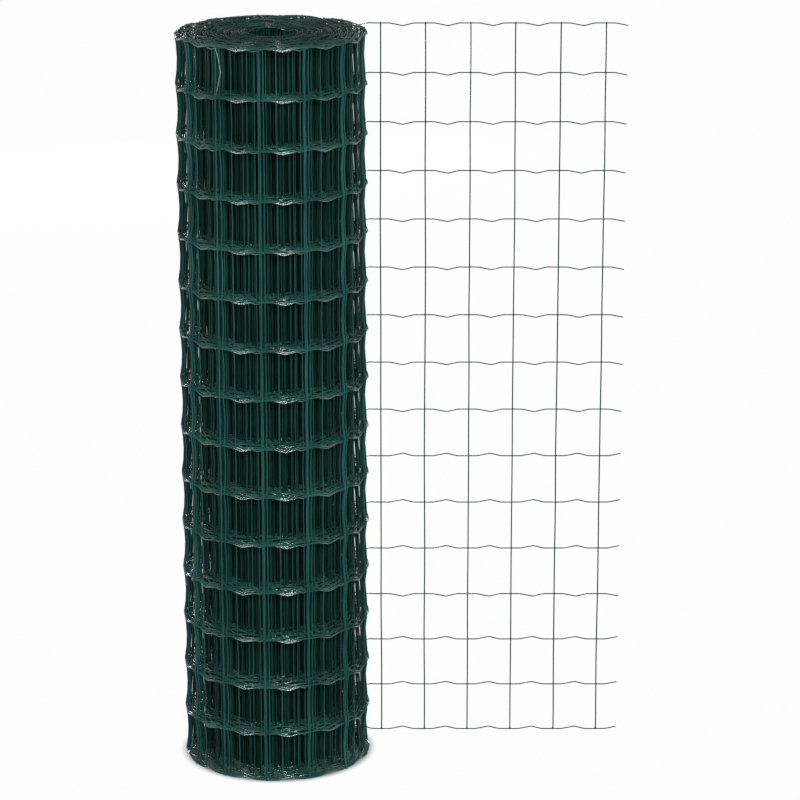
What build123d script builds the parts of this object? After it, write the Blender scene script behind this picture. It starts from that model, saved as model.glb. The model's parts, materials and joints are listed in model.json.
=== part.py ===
from build123d import *

import os
from math import cos, floor, pi, radians, sin

# A roll of welded wire fencing that stands on its end, with its free end unrolled to +X.
# The origin is on the roll's axis, on the ground. All sizes are in millimetres.

# Wires, over their plastic coating
line_wire = 2.2          # runs along the fence
stay_wire = 2.5          # stands upright
wire_sides = 4
weld_sink = 0.5          # how deep two wires are pressed into each other at a weld

# Mesh
row_pitch = 100.0        # between line wires
row_count = 16
stay_pitch = 90.0        # between stays
fence_length = 25000.0   # as sold
crimp_depth = 5.0        # V in the middle of each cell, which lets the fence be tensioned
crimp_shares = (0.20, 0.50, 0.74)    # start, tip and end of the V, along a cell
raised_rows = (0, 1, 2, 4, 5, 6)     # rows from the ground whose V points up, the others point down

# Roll
roll_diameter = 380.0    # over the rows
bore_diameter = 90.0
waist_depth = 4.5        # how far the stays bow in between two rows
crest_reach = 12.0       # from a row to where the waist begins
groove_depth = 6.0       # between the turns, on both ends
turns_per_groove = 8     # the wound turns show in bands of this many
outer_land = 9.0         # flat rim of an end, the last turns of the roll

# Free end
flat_stays = 6           # stays in the flat stretch
leave_angle = 45.5       # where the fence leaves the roll, from +X towards the back, in degrees
bend_radius = 95.0       # bend from the roll's tangent to the flat stretch
bend_to_stay = 4.0       # from the bend's end to the first stay of the flat stretch
cut_length = 43.0        # line wires past the last stay
first_overhang = 3.0     # line wires before the first stay
seat_gap = 0.2           # between the free end's line wires and the rows that they lie on

# Worked out from the sizes above
crest_radius = roll_diameter / 2
waist_radius = crest_radius - waist_depth
bore_radius = bore_diameter / 2
fence_height = (row_count - 1) * row_pitch + line_wire
row_heights = [line_wire / 2 + row * row_pitch for row in range(row_count)]
stay_stand_off = (line_wire + stay_wire) / 2 - weld_sink
seat_radius = crest_radius + seat_gap + line_wire / 2
leave_turn = 90.0 - leave_angle
bend_length = bend_radius * radians(leave_turn)
bend_drop = bend_radius * (1 - cos(radians(leave_turn)))
leave_run = stay_pitch - bend_length - bend_to_stay
free_length = flat_stays * stay_pitch + cut_length
turn_pitch = pi * (crest_radius**2 - bore_radius**2) / (fence_length - free_length)


def outer_wall():
    """The roll's side between its rims: a crest at each row, and a waist where the stays bow in."""
    points = [(waist_radius, row_heights[0] + crest_reach)]
    for height in row_heights[1:-1]:
        points.append((waist_radius, height - crest_reach))
        points.append((crest_radius, height))
        points.append((waist_radius, height + crest_reach))
    points.append((waist_radius, row_heights[-1] - crest_reach))
    return points


def end_profile(height, inward):
    """One end from its rim to the bore: flat lands, and a groove for each band of turns."""
    start = crest_radius - outer_land
    wound = start - bore_radius
    groove_count = max(1, floor(wound / (turns_per_groove * turn_pitch)))
    groove_pitch = wound / groove_count
    points = [(crest_radius, height), (start, height)]
    for groove in range(groove_count):
        outer = start - groove * groove_pitch
        points.append((outer - groove_pitch / 2, height + inward * groove_depth))
        points.append((outer - groove_pitch, height))
    return points


def rolled_mesh():
    """The wound part, turned about the roll's axis."""
    bottom = end_profile(0, 1)
    top = end_profile(fence_height, -1)
    outline = Polyline(*outer_wall(), *top, *reversed(bottom), close=True)
    return revolve(Plane.XZ * make_face(outline), Axis.Z)


def wire_section(diameter):
    """A wire's section, with its flats one wire diameter apart."""
    return RegularPolygon(diameter / 2, wire_sides, major_radius=False, rotation=180 / wire_sides)


def leave_point(distance):
    """A place on the tangent along which the fence leaves the roll, from the first stay on."""
    angle = radians(leave_angle)
    x = seat_radius * cos(angle) + distance * sin(angle)
    y = seat_radius * sin(angle) - distance * cos(angle)
    return Vector(x, y)


bend_start = leave_point(leave_run)
bend_end = bend_start + Vector(bend_radius * sin(radians(leave_turn)), -bend_drop)
first_flat_stay = bend_end.X + bend_to_stay


def crimp_height(share):
    """Height of a crimp's V at a share of the way along a cell."""
    start, tip, end = crimp_shares
    rise = (share - start) / (tip - start)
    fall = (end - share) / (end - tip)
    return crimp_depth * max(0, min(rise, fall))


def crimped_run(direction):
    """A line wire's flat stretch, with a V in each cell that points up (1) or down (-1)."""
    points = [bend_end]
    cut_share = flat_stays - 1 + cut_length / stay_pitch
    corner_shares = [cell + share for cell in range(flat_stays) for share in crimp_shares]
    for share in [corner for corner in corner_shares if corner < cut_share] + [cut_share]:
        height = direction * crimp_height(share % 1)
        points.append(Vector(first_flat_stay + share * stay_pitch, bend_end.Y, height))
    return points


def line_wire_solid(direction):
    """One line wire: along the roll's tangent, round the bend and out along the flat stretch."""
    start = leave_point(-first_overhang)
    tangent = bend_start - start
    approach = Line(start, bend_start)
    bend = TangentArc(bend_start, bend_end, tangent=tangent)
    run = Polyline(*crimped_run(direction))
    path = Wire(approach.edges() + bend.edges() + run.edges())
    section = Plane(start, x_dir=(0, 0, 1), z_dir=tangent) * wire_section(line_wire)
    return sweep(section, path, transition=Transition.RIGHT)


def stay_solids():
    """The stays: one where the fence leaves the roll, then those of the flat stretch."""
    bar = extrude(wire_section(stay_wire), fence_height)
    on_roll = Rot(0, 0, leave_angle) * Pos(seat_radius + stay_stand_off, 0, 0) * bar
    flat = [
        Pos(first_flat_stay + place * stay_pitch, bend_end.Y + stay_stand_off, 0) * bar
        for place in range(flat_stays)
    ]
    return [on_roll] + flat


def free_end():
    """The unrolled end: the line wires and stays, fused where they cross."""
    wires = {direction: line_wire_solid(direction) for direction in (1, -1)}
    lines = []
    for row, height in enumerate(row_heights):
        direction = 1 if row in raised_rows else -1
        lines.append(Pos(0, 0, height) * wires[direction])
    return lines[0].fuse(*lines[1:], *stay_solids())


os.makedirs("parts", exist_ok=True)
export_step(rolled_mesh(), "parts/rolled_mesh.step")
export_step(free_end(), "parts/free_end.step")
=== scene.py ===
import json
import math

import bpy
import numpy as np
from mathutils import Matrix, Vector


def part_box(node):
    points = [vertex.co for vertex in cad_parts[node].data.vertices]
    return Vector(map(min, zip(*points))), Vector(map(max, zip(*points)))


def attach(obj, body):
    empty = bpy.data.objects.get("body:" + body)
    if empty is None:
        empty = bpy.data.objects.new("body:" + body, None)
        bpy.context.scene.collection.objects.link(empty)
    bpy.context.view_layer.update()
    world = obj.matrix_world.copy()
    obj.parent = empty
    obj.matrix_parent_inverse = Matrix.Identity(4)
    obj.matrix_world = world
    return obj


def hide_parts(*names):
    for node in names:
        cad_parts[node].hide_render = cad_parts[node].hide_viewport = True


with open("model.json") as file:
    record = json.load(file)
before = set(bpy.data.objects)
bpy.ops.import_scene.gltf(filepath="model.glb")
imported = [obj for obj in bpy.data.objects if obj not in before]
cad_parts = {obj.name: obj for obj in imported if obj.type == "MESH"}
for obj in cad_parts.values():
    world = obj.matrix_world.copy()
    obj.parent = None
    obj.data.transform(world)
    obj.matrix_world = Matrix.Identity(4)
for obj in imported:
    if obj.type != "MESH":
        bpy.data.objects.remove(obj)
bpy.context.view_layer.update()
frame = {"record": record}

rollLow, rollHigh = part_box("rolled_mesh")

# the welded mesh, in metres; the roll's own size comes from the frame
fence = {
    "rowPitch": 0.100,
    "stayPitch": 0.090,
    "lineWire": 0.0022,
    "stayWire": 0.0025,
    "weldSink": 0.0005,      # how deep two wires are pressed into each other
    "length": 25.0,
    "flatStays": 6,          # stays of the free end's flat stretch
    "cutLength": 0.043,      # line wires past the last stay of the free end
    "leaveAngle": 45.5,      # degrees from +X, where the free end leaves the roll
    "bendRadius": 0.095,     # from the roll's tangent to the flat stretch
    "bendToStay": 0.004,     # from the bend to the first stay of the flat stretch
    "seatGap": 0.0002,       # under the free end's line wires, where they lie on the roll
    "boreMargin": 0.0030,    # from the bore's wall to the first turn's line wires
    "liftCells": 2.0,        # the last cells that stand a little off the roll
    "tightTurns": 3,         # the last turns, pulled tight when the roll was tied
    "tightPitch": 0.0020,
    "tightLift": 0.0020,     # the last turn's stays, past the rows' crests
}
crestRadius = max(rollHigh.x, rollHigh.y)
fenceHeight = rollHigh.z
bore = next(mount for mount in frame["record"]["mounts"] if mount["name"] == "bore")
boreRadius = bore["dims"]["r_mm"] / 1000  # the record is in millimetres
rowCount = round((fenceHeight - fence["lineWire"]) / fence["rowPitch"]) + 1
stayOffset = (fence["lineWire"] + fence["stayWire"]) / 2 - fence["weldSink"]
outerTurn = crestRadius + fence["tightLift"] - fence["stayWire"] / 2 - stayOffset
innerTurn = boreRadius + fence["boreMargin"]
freeCells = fence["flatStays"] + fence["cutLength"] / fence["stayPitch"]
woundCells = fence["length"] / fence["stayPitch"] - freeCells
looseTurn = outerTurn - fence["tightTurns"] * fence["tightPitch"]
tightLength = math.pi * (outerTurn**2 - looseTurn**2) / fence["tightPitch"]
looseLength = woundCells * fence["stayPitch"] - tightLength
turnPitch = math.pi * (looseTurn**2 - innerTurn**2) / looseLength
rowHeights = [fence["lineWire"] / 2 + row * fence["rowPitch"] for row in range(rowCount)]
turnCount = fence["tightTurns"] + (looseTurn - innerTurn) / turnPitch
print("roll of", round(turnCount, 1), "turns,", rowCount, "rows")


class Flow:
    # a socket of a node tree that takes part in plain arithmetic

    def __init__(self, tree, socket=None):
        self.tree = tree
        self.socket = socket

    def add(self, kind, settings=None, sockets=None, outlet=0):
        # a new node: its settings first, then the values or links of its sockets
        node = self.tree.nodes.new(kind)
        for name, value in (settings or {}).items():
            if name == "stops":
                stops = node.color_ramp.elements
                for place, (at, colour) in enumerate(value):
                    stop = stops[place] if place < len(stops) else stops.new(at)
                    stop.position = at
                    stop.color = colour
            else:
                setattr(node, name, value)
        for name, value in (sockets or {}).items():
            if isinstance(value, Flow):
                self.tree.links.new(value.socket, node.inputs[name])
            else:
                node.inputs[name].default_value = value
        return Flow(self.tree, node.outputs[outlet]) if node.outputs else None

    def math(self, operation, first, second=0.0):
        return self.add("ShaderNodeMath", {"operation": operation}, {0: first, 1: second})

    def __add__(self, other):
        return self.math("ADD", self, other)

    def __radd__(self, other):
        return self.math("ADD", other, self)

    def __sub__(self, other):
        return self.math("SUBTRACT", self, other)

    def __rsub__(self, other):
        return self.math("SUBTRACT", other, self)

    def __mul__(self, other):
        return self.math("MULTIPLY", self, other)

    def __rmul__(self, other):
        return self.math("MULTIPLY", other, self)

    def __truediv__(self, other):
        return self.math("DIVIDE", self, other)


# the way of the fence, seen from above

def smoothStep(x):
    x = np.clip(x, 0, 1)
    return x * x * (3 - 2 * x)


def fencePlan(cells):
    # place and outward direction, for cells counted from the stay where the fence leaves the roll:
    # positive into the roll, negative along the free end
    cells = np.asarray(cells, float)
    run = cells * fence["stayPitch"]
    leave = math.radians(fence["leaveAngle"])
    bendLength = fence["bendRadius"] * (math.pi / 2 - leave)
    leaveRun = fence["stayPitch"] - bendLength - fence["bendToStay"]
    seatLift = crestRadius + fence["seatGap"] + fence["lineWire"] / 2 - outerTurn

    # on the roll: two spirals, of which the outer one is wound tighter
    tight = np.sqrt(outerTurn**2 - fence["tightPitch"] * np.clip(run, 0, tightLength) / math.pi)
    loose = np.sqrt(looseTurn**2 - turnPitch * np.clip(run - tightLength, 0, None) / math.pi)
    turns = (outerTurn - tight) / fence["tightPitch"] + (looseTurn - loose) / turnPitch
    angle = leave + 2 * math.pi * turns
    radius = np.where(run < tightLength, tight, loose)
    radius = radius + seatLift * (1 - smoothStep(cells / fence["liftCells"]))

    # off the roll: along its tangent, round the bend and out flat
    straight = np.clip(-run, 0, leaveRun)
    turned = np.clip(-run - leaveRun, 0, bendLength) / fence["bendRadius"]
    flat = np.clip(-run - leaveRun - bendLength, 0, None)
    x = radius * np.cos(angle) + straight * math.sin(leave) + flat
    y = radius * np.sin(angle) - straight * math.cos(leave)
    x += fence["bendRadius"] * (math.cos(leave) - np.cos(leave + turned))
    y += fence["bendRadius"] * (math.sin(leave) - np.sin(leave + turned))
    outward = np.stack([np.cos(angle + turned), np.sin(angle + turned)], -1)
    return np.stack([x, y], -1), outward


def lifted(plan, height=0.0):
    # places seen from above, put at a height
    return np.concatenate([plan, np.full((len(plan), 1), height)], 1)


def meshOf(name, points, edges=(), **attributes):
    # bare points and edges, with the named values on each point
    mesh = bpy.data.meshes.new(name)
    mesh.from_pydata([tuple(point) for point in points], list(edges), [])
    for key, values in attributes.items():
        values = np.asarray(values, np.float32)
        kind, field = ("FLOAT_VECTOR", "vector") if values.ndim == 2 else ("FLOAT", "value")
        mesh.attributes.new(key, kind, "POINT").data.foreach_set(field, values.ravel())
    piece = bpy.data.objects.new(name, mesh)
    bpy.context.scene.collection.objects.link(piece)
    return piece


# coated wire

noiseMiddle = 0.5  # a noise node's values lie about this

coating = {
    "dark": (0.010, 0.062, 0.053, 1.0),
    "base": (0.018, 0.094, 0.081, 1.0),
    "pale": (0.038, 0.142, 0.124, 1.0),
    "roughness": 0.42,
    "roughnessSpread": 0.25,
    "specular": 0.05,
    "shadeRadius": 0.135,    # painted shade: the turns inside this lie in the others' shade, so their colour is darkened the most
    "freePaintedShade": 0.40,        # painted shade on the free end: its colour darkened to this share, a single layer of wires against the light
    "polish": 1.00,          # the crimping rollers leave the bends shiny
    "polishRoughness": 0.18,
    "polishIndex": 2.1,
    "bloom": 9.0,            # slow drift of the tone, per metre
    "bloomDetail": 3.0,
    "bloomShare": 0.75,      # of the drift in the tone, the rest is grain
    "toneStops": (0.30, 0.52, 0.78),  # where the tone is dark, base and pale
    "grain": 900.0,          # orange peel of the dipped plastic, per metre
    "grainDetail": 2.0,
    "grainDepth": 0.0003,
    "grainStrength": 0.12,
}


def coatedWire():
    material = bpy.data.materials.new("coatedWire")
    material.use_nodes = True
    tree = material.node_tree
    shader = tree.nodes["Principled BSDF"]
    start = Flow(tree)
    place = start.add("ShaderNodeTexCoord", outlet="Object")
    drift = start.add("ShaderNodeTexNoise", sockets={
        "Vector": place, "Scale": coating["bloom"], "Detail": coating["bloomDetail"],
    })
    grain = start.add("ShaderNodeTexNoise", sockets={
        "Vector": place, "Scale": coating["grain"], "Detail": coating["grainDetail"],
    })
    mixed = coating["bloomShare"] * drift + (1 - coating["bloomShare"]) * grain
    darkAt, baseAt, paleAt = coating["toneStops"]
    tone = start.add(
        "ShaderNodeValToRGB",
        {"stops": [(darkAt, coating["dark"]), (paleAt, coating["pale"]), (baseAt, coating["base"])]},
        {"Fac": mixed},
    )
    # painted shade: the tone is darkened by the shade attribute, inwards among the turns and on the free
    # end
    shade = start.add("ShaderNodeAttribute", {"attribute_name": "shade"}, outlet="Fac")
    tone = start.add("ShaderNodeVectorMath", {"operation": "SCALE"}, {0: tone, "Scale": shade})
    roughness = coating["roughness"] + coating["roughnessSpread"] * (drift - noiseMiddle)
    bump = start.add("ShaderNodeBump", sockets={
        "Strength": coating["grainStrength"], "Distance": coating["grainDepth"], "Height": grain,
    })
    tree.links.new(tone.socket, shader.inputs["Base Color"])
    tree.links.new(roughness.socket, shader.inputs["Roughness"])
    tree.links.new(bump.socket, shader.inputs["Normal"])
    bent = start.add("ShaderNodeAttribute", {"attribute_name": "bent"}, outlet="Fac")
    tree.links.new((bent * coating["polish"]).socket, shader.inputs["Coat Weight"])
    shader.inputs["Coat Roughness"].default_value = coating["polishRoughness"]
    shader.inputs["Coat IOR"].default_value = coating["polishIndex"]
    shader.inputs["Specular IOR Level"].default_value = coating["specular"]
    return material


greenCoating = coatedWire()


def shadeAt(plan, deepest):
    # painted shade of a wire among the turns: its colour darkens inwards, down to the deepest inside the
    # shade radius
    radius = np.hypot(plan[:, 0], plan[:, 1])
    depth = np.clip((radius - coating["shadeRadius"]) / (outerTurn - coating["shadeRadius"]), 0, 1)
    return deepest + (1 - deepest) * depth**2


def freeShade(cells):
    # painted shade along the fence: 1 on the roll, easing to the free end's painted shade over its first
    # cell
    return 1 - (1 - coating["freePaintedShade"]) * smoothStep(-np.asarray(cells, float))


# Geometry Nodes: each tree has named inputs, and ends realized and in its material

def newTree(name, sizes):
    tree = bpy.data.node_groups.new(name, "GeometryNodeTree")
    tree.interface.new_socket("Geometry", in_out="OUTPUT", socket_type="NodeSocketGeometry")
    for label, kind in {"Points": "Geometry", **sizes}.items():
        tree.interface.new_socket(label, in_out="INPUT", socket_type="NodeSocket" + kind)
    entry = tree.nodes.new("NodeGroupInput")
    inputs = {socket.name: Flow(tree, socket) for socket in entry.outputs if socket.name}
    return tree, Flow(tree), inputs


def endTree(start, shape):
    smooth = start.add("GeometryNodeSetShadeSmooth", sockets={"Geometry": shape})
    whole = start.add("GeometryNodeRealizeInstances", sockets={"Geometry": smooth})
    dressed = start.add("GeometryNodeSetMaterial", sockets={"Geometry": whole, "Material": greenCoating})
    start.add("NodeGroupOutput", sockets={"Geometry": dressed})


def wireRadius(diameter, sides):
    # corner radius of a ring that looks as wide as the round wire, seen from all round
    return diameter * math.pi / (2 * sides * math.sin(math.pi / sides))


def sweepWire(start, inputs, path):
    # round wire along every chain of edges, closed at its ends
    curve = start.add("GeometryNodeMeshToCurve", sockets={"Mesh": path})
    ring = start.add(
        "GeometryNodeCurvePrimitiveCircle",
        sockets={"Resolution": inputs["Sides"], "Radius": inputs["Wire radius"]},
    )
    return start.add(
        "GeometryNodeCurveToMesh", sockets={"Curve": curve, "Profile Curve": ring, "Fill Caps": True}
    )


def copies(start, inputs, shape):
    # the shape on each of the piece's points
    stood = start.add("GeometryNodeInstanceOnPoints", sockets={
        "Points": inputs["Points"], "Instance": shape,
    })
    return start.add("GeometryNodeRealizeInstances", sockets={"Geometry": stood})


def stored(start, shape, name, value):
    # the shape with a named value kept on its points
    return start.add("GeometryNodeStoreNamedAttribute", {"data_type": "FLOAT", "domain": "POINT"}, {
        "Geometry": shape, "Name": name, "Value": value,
    })


def named(start, name, kind="FLOAT"):
    # a named value that is kept on the points
    return start.add("GeometryNodeInputNamedAttribute", {"data_type": kind}, {"Name": name})


def waver(start, along):
    # smooth random value about zero
    value = start.add("ShaderNodeTexNoise", {"noise_dimensions": "1D"}, {
        "W": along, "Scale": 1.0, "Detail": 1.0,
    })
    return value - noiseMiddle


def scaled(start, vector, amount):
    return start.add("ShaderNodeVectorMath", {"operation": "SCALE"}, {0: vector, "Scale": amount})


def summed(start, first, second):
    return start.add("ShaderNodeVectorMath", {"operation": "ADD"}, {0: first, 1: second})


def grow(piece, tree, values):
    # run the tree on the piece's points, and keep the result as a plain mesh
    modifier = piece.modifiers.new(tree.name, "NODES")
    modifier.node_group = tree
    for item in tree.interface.items_tree:
        if item.in_out == "INPUT" and item.name in values:
            modifier[item.identifier] = values[item.name]
    piece.update_tag()
    points = piece.data
    marks = [mark.name for mark in points.attributes if mark.name not in ("position", "shade")]
    graph = bpy.context.evaluated_depsgraph_get()
    piece.data = bpy.data.meshes.new_from_object(piece.evaluated_get(graph))
    piece.modifiers.remove(modifier)
    bpy.data.meshes.remove(points)
    piece.data.name = piece.name
    for name in marks + ["cell", "outward", "free"]:  # those of the fence's path come along too
        if name in piece.data.attributes:
            piece.data.attributes.remove(piece.data.attributes[name])
    print(piece.name, len(piece.data.polygons), "faces")
    return piece


# line wires: the same way on every row, with a crimp in each cell

lineWires = {
    "stepsPerCell": 8,       # on the roll
    "freeSteps": 24,         # to a cell of the free end
    "sides": 6,
    "crimpDepth": 0.0055,
    "crimpOut": 0.0012,      # how far a wound crimp leans out
    "crimpShares": (0.20, 0.50, 0.74),  # start, tip and end of the V along a cell
    "raisedRows": (0, 1, 2, 4, 5, 6),   # from the ground, where the free end's V points up
    "freeCrimps": -1.0,      # the cell past which the free end's crimps begin
    "polishRise": 3.0,       # how soon up the V the shine is whole
    "wobble": 0.0060,        # rise and fall of a wound row
    "wobbleOut": 0.0010,     # its play in and out
    "wavesPerCell": 0.37,
    "rowShift": 17.3,        # keeps the wobbles of two rows apart
    "outShift": 400.0,       # keeps a row's rise and its play apart
    "deepest": 0.45,         # painted shade of the top row's inner turns, over the dark inside of the roll
    "lowerDim": 0.12,        # share of that painted shade on the rows below, which are lit through the cells
    "topPolish": 0.12,       # the top row is rubbed shiny
    "seed": 3.0,
    "rowsPerPiece": 4,       # so that no piece has too many faces to export whole
}


def fencePath():
    free = np.linspace(-freeCells, 0, round(freeCells * lineWires["freeSteps"]), endpoint=False)
    wound = np.arange(0, woundCells, 1 / lineWires["stepsPerCell"])
    cells = np.concatenate([free, wound])
    plan, outward = fencePlan(cells)
    edges = [(step, step + 1) for step in range(len(cells) - 1)]
    # painted shade, darker on the inner turns and on the free end
    shade = shadeAt(plan, lineWires["deepest"])
    return meshOf(
        "fencePath", lifted(plan), edges,
        cell=cells, outward=lifted(outward), shade=shade, free=freeShade(cells),
    )


def rowWobble(start, inputs):
    # small rise and fall of a wound row, and its play between two turns
    cell = named(start, "cell")
    along = cell * lineWires["wavesPerCell"] + named(start, "row") * lineWires["rowShift"] + inputs["Seed"]
    wound = start.math("GREATER_THAN", cell, fence["liftCells"])
    rise = waver(start, along) * inputs["Wobble"] * wound
    out = waver(start, along + lineWires["outShift"]) * inputs["Wobble out"] * wound
    return rise, out


def lineWireTree():
    tree, start, inputs = newTree("lineWireTree", {
        "Path": "Object", "Wire radius": "Float", "Sides": "Int", "Crimp depth": "Float",
        "Crimp out": "Float", "Wobble": "Float", "Wobble out": "Float", "Seed": "Float",
    })
    path = start.add("GeometryNodeObjectInfo", sockets={"Object": inputs["Path"]}, outlet="Geometry")
    wires = copies(start, inputs, path)
    cell = named(start, "cell")
    share = start.math("FRACT", 0.0 - cell)
    first, tip, last = lineWires["crimpShares"]
    slope = start.math("MINIMUM", (share - first) / (tip - first), (last - share) / (last - tip))
    crimp = start.math("MAXIMUM", slope, 0.0)
    onRoll = start.math("GREATER_THAN", cell, lineWires["freeCrimps"])
    side = named(start, "crimpSide") * (1 - onRoll) + named(start, "woundSide") * onRoll
    wobble, play = rowWobble(start, inputs)
    height = crimp * side * inputs["Crimp depth"] + wobble
    height = start.math("MAXIMUM", height, 0.0 - named(start, "row"))  # row 0 lies on the ground
    rise = start.add("ShaderNodeCombineXYZ", sockets={"Z": height})
    reach = crimp * onRoll * inputs["Crimp out"] + play
    out = scaled(start, named(start, "outward", "FLOAT_VECTOR"), reach)
    shaped = start.add("GeometryNodeSetPosition", sockets={
        "Geometry": wires, "Offset": summed(start, rise, out),
    })
    shine = start.math("MINIMUM", crimp * lineWires["polishRise"], 1.0)
    polish = start.math("MAXIMUM", shine, named(start, "rubbed"))
    bent = stored(start, shaped, "bent", polish * onRoll)
    # painted shade: the inner turns' darkening, whole on the top row and in part below, times the free
    # end's
    tone = 1 - (1 - named(start, "shade")) * named(start, "dim")
    toned = stored(start, bent, "shade", tone * named(start, "free"))
    endTree(start, sweepWire(start, inputs, toned))
    return tree


def makeLineWires():
    tree = lineWireTree()
    path = fencePath()
    pieces = []
    for first in range(0, rowCount, lineWires["rowsPerPiece"]):
        rows = list(range(rowCount))[first:first + lineWires["rowsPerPiece"]]
        piece = meshOf(
            f"lineWires_{rows[0] + 1}_to_{rows[-1] + 1}",
            [(0, 0, rowHeights[row]) for row in rows],
            row=rows,
            crimpSide=[1 if row in lineWires["raisedRows"] else -1 for row in rows],
            woundSide=[1 if row == 0 else -1 for row in rows],  # down, except on the ground
            # painted shade: how much of the inner turns' darkening each row takes
            dim=[1 if row == rowCount - 1 else lineWires["lowerDim"] for row in rows],
            rubbed=[lineWires["topPolish"] if row == rowCount - 1 else 0 for row in rows],
        )
        pieces.append(grow(piece, tree, {
            "Path": path,
            "Wire radius": wireRadius(fence["lineWire"], lineWires["sides"]),
            "Sides": lineWires["sides"],
            "Crimp depth": lineWires["crimpDepth"],
            "Crimp out": lineWires["crimpOut"],
            "Wobble": lineWires["wobble"],
            "Wobble out": lineWires["wobbleOut"],
            "Seed": lineWires["seed"],
        }))
    bpy.data.objects.remove(path)
    return pieces


# stays: an upright wire for each cell, which bows in between the rows

stays = {
    "bow": 0.0050,           # how far a stay goes in, midway between two rows
    "sway": 0.0030,          # its play along the row
    "lean": 0.0010,          # its play in and out
    "wavesPerMetre": 3.0,
    "stayShift": 23.7,       # keeps the sways of two stays apart
    "leanShift": 300.0,      # keeps a stay's sway and its lean apart
    "seed": 8.0,
    "kinkedStay": 7,         # from where the fence leaves the roll
    "kink": 0.015,
    "kinkShare": 0.42,       # from the top row to the one below
    "farSide": 0.010,        # where the far side begins, behind the roll's axis
    "farWidth": 0.130,       # past this to the left and right are the far side's edges
    # cells from where the fence leaves the roll, stays to a cell, share of the bow, deepest painted shade,
    # and steps and sides of a wire; the photo shows little light through the roll, so the middle turns,
    # those round the bore and those of the far side and its edges have more stays than one to a cell; a
    # group with a farPart has stays only on that part of the far side, all in its deepest painted shade
    "groups": {
        "outerStays": {
            "first": -fence["flatStays"], "last": 40, "perCell": 1, "bow": 1.0,
            "deepest": 0.45, "steps": 60, "sides": 6,
        },
        "innerStays": {
            "first": 40, "last": 115, "perCell": 1, "bow": 0.5,
            "deepest": 0.45, "steps": 30, "sides": 5,
        },
        "middleStays": {
            "first": 115, "last": 185, "perCell": 2, "bow": 0.3,
            "deepest": 0.40, "steps": 30, "sides": 4,
        },
        "boreStays": {
            "first": 185, "last": 270, "perCell": 12, "bow": 0.0,
            "deepest": 0.36, "steps": 3, "sides": 4,
        },
        "farStays": {
            "first": 27, "last": 185, "perCell": 6, "bow": 0.7,
            "deepest": 0.34, "steps": 30, "sides": 4, "farPart": "middle",
        },
        "sideStays": {
            "first": 15, "last": 185, "perCell": 3, "bow": 0.7,
            "deepest": 0.34, "steps": 30, "sides": 4, "farPart": "edges",
        },
    },
}


def stayTree():
    tree, start, inputs = newTree("stayTree", {
        "Wire radius": "Float", "Sides": "Int", "Height": "Float", "Steps": "Int", "Row pitch": "Float",
        "Sway": "Float", "Lean": "Float", "Kink": "Float", "Seed": "Float",
    })
    rise = start.add("ShaderNodeCombineXYZ", sockets={"Z": inputs["Height"] / inputs["Steps"]})
    upright = start.add("GeometryNodeMeshLine", sockets={"Count": inputs["Steps"] + 1, "Offset": rise})
    wires = copies(start, inputs, upright)
    position = start.add("GeometryNodeInputPosition")
    height = start.add("ShaderNodeSeparateXYZ", sockets={"Vector": position}, outlet="Z")
    outward = named(start, "outward", "FLOAT_VECTOR")
    share = start.math("FRACT", height / inputs["Row pitch"])
    bow = share * (1 - share) * 4.0 * named(start, "bow")  # 4.0 makes it whole in the middle of a cell
    along = height * stays["wavesPerMetre"] + named(start, "cell") * stays["stayShift"] + inputs["Seed"]
    sway = waver(start, along) * inputs["Sway"]
    lean = waver(start, along + stays["leanShift"]) * inputs["Lean"]
    fromTop = (inputs["Height"] - height) / inputs["Row pitch"]
    bend = start.math("MINIMUM", fromTop / stays["kinkShare"], (1 - fromTop) / (1 - stays["kinkShare"]))
    kinked = start.math("MAXIMUM", bend, 0.0) * named(start, "kinked")
    kink = kinked * inputs["Kink"]
    sideways = start.add(
        "ShaderNodeVectorMath", {"operation": "CROSS_PRODUCT"}, {0: (0.0, 0.0, 1.0), 1: outward}
    )
    offset = summed(start, scaled(start, outward, lean - bow), scaled(start, sideways, sway + kink))
    shaped = start.add("GeometryNodeSetPosition", sockets={"Geometry": wires, "Offset": offset})
    bent = stored(start, shaped, "bent", start.math("GREATER_THAN", kinked, 0.0))
    endTree(start, sweepWire(start, inputs, bent))
    return tree


def makeStays():
    tree = stayTree()
    chance = np.random.default_rng(int(stays["seed"]))
    pieces = []
    for name, group in stays["groups"].items():
        cells = np.arange(group["first"], min(group["last"], woundCells), 1 / group["perCell"])
        if group["perCell"] > 1:
            cells = cells + chance.uniform(0, 1 / group["perCell"], len(cells))
        plan, outward = fencePlan(cells)
        if "farPart" in group:
            atEdges = np.abs(plan[:, 0]) > stays["farWidth"]
            kept = (plan[:, 1] > stays["farSide"]) & (atEdges == (group["farPart"] == "edges"))
            cells, plan, outward = cells[kept], plan[kept], outward[kept]
            # painted shade: the far side's stays are darkened evenly
            shade = np.full(len(cells), group["deepest"])
        else:
            # painted shade, darker on the inner turns and on the free end
            shade = shadeAt(plan, group["deepest"]) * freeShade(cells)
        kinked = cells == stays["kinkedStay"]
        piece = meshOf(
            name,
            lifted(plan + outward * stayOffset),
            cell=cells,
            outward=lifted(outward),
            bow=np.where((cells > 0) & ~kinked, stays["bow"] * group["bow"], 0.0),
            shade=shade,
            kinked=kinked,
        )
        pieces.append(grow(piece, tree, {
            "Wire radius": wireRadius(fence["stayWire"], group["sides"]),
            "Sides": group["sides"],
            "Height": fenceHeight,
            "Steps": group["steps"],
            "Row pitch": fence["rowPitch"],
            "Sway": stays["sway"],
            "Lean": stays["lean"],
            "Kink": stays["kink"],
            "Seed": stays["seed"],
        }))
    return pieces


# welds: a bead of coating where a stay crosses a line wire, on the free end and the last turn

welds = {
    "lastCell": 13,          # about where the last turn begins
    "beadRadius": 0.0022,
    "beadSplits": 1,
}


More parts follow.
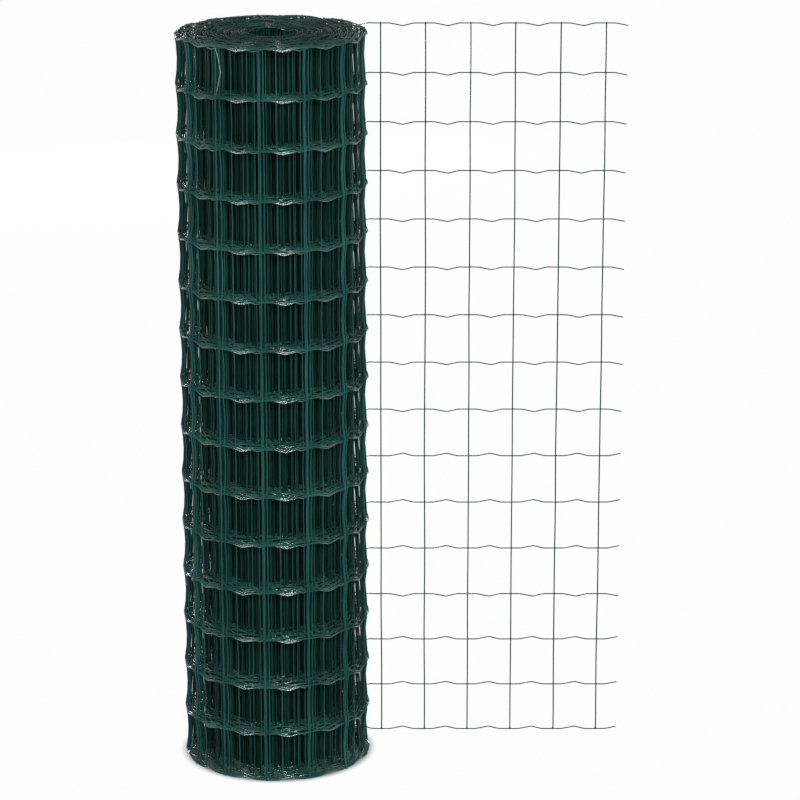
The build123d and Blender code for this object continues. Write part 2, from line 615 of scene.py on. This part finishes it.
def weldTree():
    tree, start, inputs = newTree("weldTree", {
        "Bead radius": "Float", "Bead splits": "Int",
        "Wobble": "Float", "Wobble out": "Float", "Seed": "Float",
    })
    wobble, play = rowWobble(start, inputs)
    height = start.math("MAXIMUM", wobble, 0.0 - named(start, "row"))
    rise = start.add("ShaderNodeCombineXYZ", sockets={"Z": height})
    out = scaled(start, named(start, "outward", "FLOAT_VECTOR"), play)
    placed = start.add("GeometryNodeSetPosition", sockets={
        "Geometry": inputs["Points"], "Offset": summed(start, rise, out),
    })
    bead = start.add("GeometryNodeMeshIcoSphere", sockets={
        "Radius": inputs["Bead radius"], "Subdivisions": inputs["Bead splits"],
    })
    beads = start.add("GeometryNodeInstanceOnPoints", sockets={"Points": placed, "Instance": bead})
    endTree(start, beads)
    return tree


def makeWelds():
    cells = np.arange(-fence["flatStays"], welds["lastCell"] + 1)
    plan, outward = fencePlan(cells)
    middle = plan + outward * stayOffset / 2
    piece = meshOf(
        "weldBeads",
        np.concatenate([lifted(middle, max(height, welds["beadRadius"])) for height in rowHeights]),
        cell=np.tile(cells, rowCount),
        row=np.repeat(np.arange(rowCount), len(cells)),
        outward=np.tile(lifted(outward), (rowCount, 1)),
        # painted shade on the free end's beads
        shade=np.tile(freeShade(cells), rowCount),
    )
    return [grow(piece, weldTree(), {
        "Bead radius": welds["beadRadius"],
        "Bead splits": welds["beadSplits"],
        "Wobble": lineWires["wobble"],
        "Wobble out": lineWires["wobbleOut"],
        "Seed": lineWires["seed"],
    })]


for piece in makeLineWires() + makeStays() + makeWelds():
    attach(piece, "root")
    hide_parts("rolled_mesh", "free_end")


# stage, light and camera

studio = {
    "floorSize": 60.0,
    "floorColour": (0.20, 0.20, 0.20, 1.0),
    "floorWhite": 0.985,     # share of plain white that the camera sees on the floor
    "footRadius": 0.176,     # inside this the floor is left dark, a painted shadow of the dark floor colour, which also takes the roll's real shade
    "whiteRadius": 0.206,    # and from this on it is white
    "wallTop": 0.25,         # sine of the elevation at which the white wall begins to end
    "wallFade": 0.45,        # and at which it has ended
    "skyLevel": 0.18,        # strength of the soft light from all round
    "white": (1.0, 1.0, 1.0, 1.0),
    "whiteLevel": 1.0,       # strength at which the background is plain white
    "lamps": {               # watts, and metres
        "leftKey": {"energy": 200.0, "wide": 2.0, "tall": 1.2, "place": (-4.2, -5.3, 3.9)},
        "rightKey": {"energy": 385.0, "wide": 2.0, "tall": 1.2, "place": (1.7, -6.6, 3.9)},
        "fill": {"energy": 40.0, "wide": 3.0, "tall": 1.5, "place": (0.5, -5.5, 0.9)},
        "back": {"energy": 320.0, "wide": 3.0, "tall": 1.1, "place": (-1.0, 6.0, 0.75)},
    },
}


def seenRays(start):
    # rays that show the background: to the camera, in a reflection or through glass
    kinds = [f"Is {kind} Ray" for kind in ("Camera", "Glossy", "Transmission")]
    camera, glossy, through = [start.add("ShaderNodeLightPath", outlet=kind) for kind in kinds]
    return start.math("MAXIMUM", start.math("MAXIMUM", camera, glossy), through)


def makeFloor():
    half = studio["floorSize"] / 2
    mesh = bpy.data.meshes.new("floor")
    corners = [(-half, -half, 0), (half, -half, 0), (half, half, 0), (-half, half, 0)]
    mesh.from_pydata(corners, [], [(0, 1, 2, 3)])
    floor = bpy.data.objects.new("floor", mesh)
    bpy.context.scene.collection.objects.link(floor)
    material = bpy.data.materials.new("paleFloor")
    material.use_nodes = True
    material.node_tree.nodes.clear()
    start = Flow(material.node_tree)
    place = start.add("ShaderNodeTexCoord", outlet="Object")
    away = start.add("ShaderNodeVectorMath", {"operation": "LENGTH"}, {0: place}, outlet="Value")
    # painted shadow round the roll's foot: the white fades out there and leaves the dark floor colour,
    # under the roll's real shadow
    clear = start.add("ShaderNodeMapRange", {"interpolation_type": "SMOOTHSTEP"}, {
        "Value": away, "From Min": studio["footRadius"], "From Max": studio["whiteRadius"],
    })
    whiteness = seenRays(start) * clear * studio["floorWhite"]
    matt = start.add("ShaderNodeBsdfDiffuse", sockets={"Color": studio["floorColour"]})
    white = start.add("ShaderNodeEmission", sockets={
        "Color": studio["white"], "Strength": studio["whiteLevel"],
    })
    surface = start.add("ShaderNodeMixShader", sockets={0: whiteness, 1: matt, 2: white})
    start.add("ShaderNodeOutputMaterial", sockets={"Surface": surface})
    mesh.materials.append(material)


def makeSky():
    world = bpy.data.worlds.new("studio")
    bpy.context.scene.world = world
    world.use_nodes = True
    world.node_tree.nodes.clear()
    start = Flow(world.node_tree)
    way = start.add("ShaderNodeTexCoord", outlet="Generated")
    height = start.add("ShaderNodeSeparateXYZ", sockets={"Vector": way}, outlet="Z")
    wall = start.add("ShaderNodeMapRange", {"interpolation_type": "SMOOTHSTEP"}, {
        "Value": height, "From Min": studio["wallTop"], "From Max": studio["wallFade"],
        "To Min": 1.0, "To Max": 0.0,
    })
    seen = seenRays(start) * wall
    light = start.add("ShaderNodeBackground", sockets={
        "Color": studio["white"], "Strength": studio["skyLevel"],
    })
    white = start.add("ShaderNodeBackground", sockets={
        "Color": studio["white"], "Strength": studio["whiteLevel"],
    })
    sky = start.add("ShaderNodeMixShader", sockets={0: seen, 1: light, 2: white})
    start.add("ShaderNodeOutputWorld", sockets={"Surface": sky})


def makeLamp(name, settings):
    lamp = bpy.data.lights.new(name, "AREA")
    lamp.shape = "RECTANGLE"
    lamp.energy = settings["energy"]
    lamp.size = settings["wide"]
    lamp.size_y = settings["tall"]
    holder = bpy.data.objects.new(name, lamp)
    holder.location = settings["place"]
    holder.visible_camera = False
    aim = (rollLow + rollHigh) / 2 - holder.location
    holder.rotation_euler = aim.to_track_quat("-Z", "Y").to_euler()
    bpy.context.scene.collection.objects.link(holder)


view = {
    "distance": 7.000,       # in front of the roll's axis
    "height": 2.774,
    "side": 0.2525,          # to the right of the roll's axis
    "pitch": 16.13,          # degrees below level
    "focalPixels": 3608.0,   # focal length, in pixels of the picture
    "framePixels": 800.0,    # the picture's width
    "sensor": 36.0,          # millimetres
}


def makeCamera():
    lens = bpy.data.cameras.new("camera")
    lens.sensor_width = view["sensor"]
    lens.lens = view["focalPixels"] / view["framePixels"] * view["sensor"]
    lens.clip_end = studio["floorSize"] * 2  # well past the floor's corners
    camera = bpy.data.objects.new("camera", lens)
    camera.location = (view["side"], -view["distance"], view["height"])
    camera.rotation_euler = (math.radians(90 - view["pitch"]), 0, 0)  # unturned, it looks straight down
    bpy.context.scene.collection.objects.link(camera)
    bpy.context.scene.camera = camera


makeFloor()
makeSky()
for lampName, lampSettings in studio["lamps"].items():
    makeLamp(lampName, lampSettings)
makeCamera()
bpy.context.scene.view_settings.view_transform = "Standard"
print("stage, light and camera are set")
